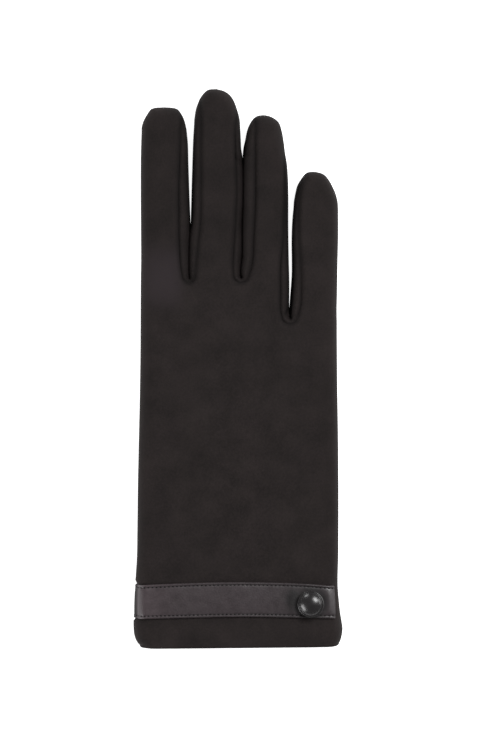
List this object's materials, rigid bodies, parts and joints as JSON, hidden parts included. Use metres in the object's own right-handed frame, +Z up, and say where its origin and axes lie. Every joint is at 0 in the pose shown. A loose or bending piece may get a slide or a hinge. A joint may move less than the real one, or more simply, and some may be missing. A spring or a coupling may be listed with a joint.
{
  "type": "wrist length dress glove",
  "caption": "Flat-lying stretch cloth dress glove for the right hand, with let-in finger strips, a stitched leather wrist band and a domed button.",
  "frame": {"origin": "under the middle of the glove's outline, on the surface that it lies on", "axes": "+Y towards the fingertips, +X towards the little finger, +Z up through the back of the hand"},
  "size_m": [0.0876, 0.2349, 0.0196],
  "materials": {
    "knit": "matte brushed stretch knit, near black",
    "band_leather": "satin fine grain, near black",
    "button_gloss": "glossy, near black"
  },
  "bodies": {
    "root": {"trank": "knit", "fourchette_index_middle": "knit", "fourchette_middle_ring": "knit", "fourchette_ring_little": "knit", "thumb": "knit", "wrist_band": "band_leather", "button": "button_gloss"}
  },
  "joints": []
}
